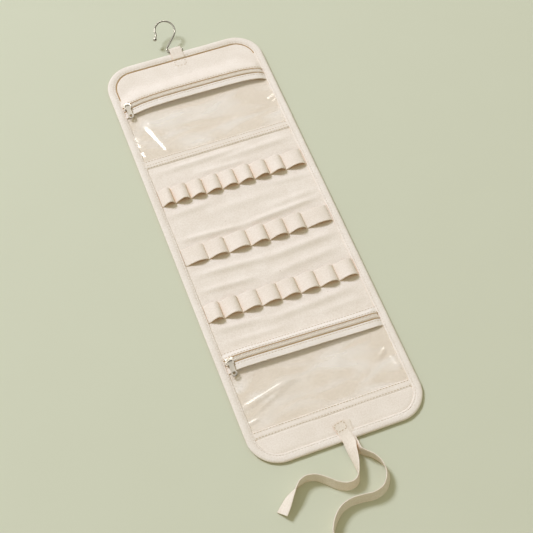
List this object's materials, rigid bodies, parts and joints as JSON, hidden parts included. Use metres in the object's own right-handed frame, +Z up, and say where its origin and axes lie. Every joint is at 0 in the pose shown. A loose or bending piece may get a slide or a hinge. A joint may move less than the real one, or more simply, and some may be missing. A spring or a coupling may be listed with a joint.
{
  "type": "hanging toiletry roll",
  "caption": "Long canvas toiletry roll, laid open: clear zipped pockets at both ends, sewn tool loops between, a wire hook at the top and tie tapes at the bottom.",
  "frame": {"origin": "middle of the underside, where the laid-open roll lies on a surface", "axes": "+X across the roll, +Y along it towards the hook, +Z up out of the lining"},
  "size_m": [0.24, 0.8493, 0.0252],
  "materials": {
    "canvas": "natural cotton canvas",
    "binding": "natural cotton canvas",
    "cotton_tape": "woven cotton tape",
    "zip_tape": "woven zip tape",
    "zip_coil": "satin",
    "clear_film": "clear",
    "nickel": "satin nickel",
    "bright_wire": "polished"
  },
  "bodies": {
    "middle_panel": {"outer_canvas_middle": "canvas", "lining_middle": "canvas", "binding_left_middle": "binding", "binding_right_middle": "binding", "loop_tape_row_2": "cotton_tape"},
    "upper_panel": {"outer_canvas_upper": "canvas", "lining_upper": "canvas", "binding_left_upper": "binding", "binding_right_upper": "binding", "loop_tape_row_1": "cotton_tape"},
    "lower_panel": {"outer_canvas_lower": "canvas", "lining_lower": "canvas", "binding_left_lower": "binding", "binding_right_lower": "binding", "loop_tape_row_3": "cotton_tape"},
    "top_flap": {"outer_canvas_top": "canvas", "lining_top": "canvas", "binding_top": "binding", "header_facing": "canvas", "hanger_tab": "cotton_tape", "top_zip_upper_tape": "zip_tape", "top_zip_lower_tape": "zip_tape", "top_zip_upper_coil": "zip_coil", "top_zip_lower_coil": "zip_coil", "top_window": "clear_film", "top_pocket_seam_tape": "canvas"},
    "bottom_flap": {"outer_canvas_bottom": "canvas", "lining_bottom": "canvas", "binding_bottom": "binding", "bottom_zip_upper_tape": "zip_tape", "bottom_zip_lower_tape": "zip_tape", "bottom_zip_upper_coil": "zip_coil", "bottom_zip_lower_coil": "zip_coil", "bottom_window": "clear_film", "bottom_pocket_seam_tape": "canvas", "hem_facing": "canvas", "tie_tape_near": "cotton_tape", "tie_tape_far": "cotton_tape"},
    "hook": {"hook_wire": "bright_wire", "hook_ball": "bright_wire"},
    "top_slider": {"top_zip_slider": "nickel"},
    "top_pull": {"top_zip_pull": "nickel"},
    "bottom_slider": {"bottom_zip_slider": "nickel"},
    "bottom_pull": {"bottom_zip_pull": "nickel"}
  },
  "joints": [
    {"name": "top_fold", "type": "hinge", "parent": "upper_panel", "child": "top_flap", "pos_m": [0, 0.1245, 0.0165], "axis": [1, 0, 0], "range_deg": [0, 180]},
    {"name": "upper_fold", "type": "hinge", "parent": "middle_panel", "child": "upper_panel", "pos_m": [0, 0.04075, 0.015], "axis": [-1, 0, 0], "range_deg": [-90, 0]},
    {"name": "lower_fold", "type": "hinge", "parent": "middle_panel", "child": "lower_panel", "pos_m": [0, -0.0555, 0.015], "axis": [1, 0, 0], "range_deg": [-90, 0]},
    {"name": "bottom_fold", "type": "hinge", "parent": "lower_panel", "child": "bottom_flap", "pos_m": [0, -0.139, 0.015], "axis": [-1, 0, 0], "range_deg": [0, 150]},
    {"name": "hook_swing", "type": "hinge", "parent": "top_flap", "child": "hook", "pos_m": [-0.002, 0.3334, 0.0049], "axis": [1, 0, 0], "range_deg": [-23, 142]},
    {"name": "top_zip_run", "type": "slide", "parent": "top_flap", "child": "top_slider", "axis": [1, 0, 0], "range_m": [0, 0.204]},
    {"name": "top_pull_flip", "type": "hinge", "parent": "top_slider", "child": "top_pull", "pos_m": [-0.102, 0.2555, 0.0133], "axis": [-1, 0, 0], "range_deg": [0, 185]},
    {"name": "bottom_zip_run", "type": "slide", "parent": "bottom_flap", "child": "bottom_slider", "axis": [1, 0, 0], "range_m": [0, 0.204]},
    {"name": "bottom_pull_flip", "type": "hinge", "parent": "bottom_slider", "child": "bottom_pull", "pos_m": [-0.102, -0.179, 0.0133], "axis": [-1, 0, 0], "range_deg": [0, 185]}
  ]
}
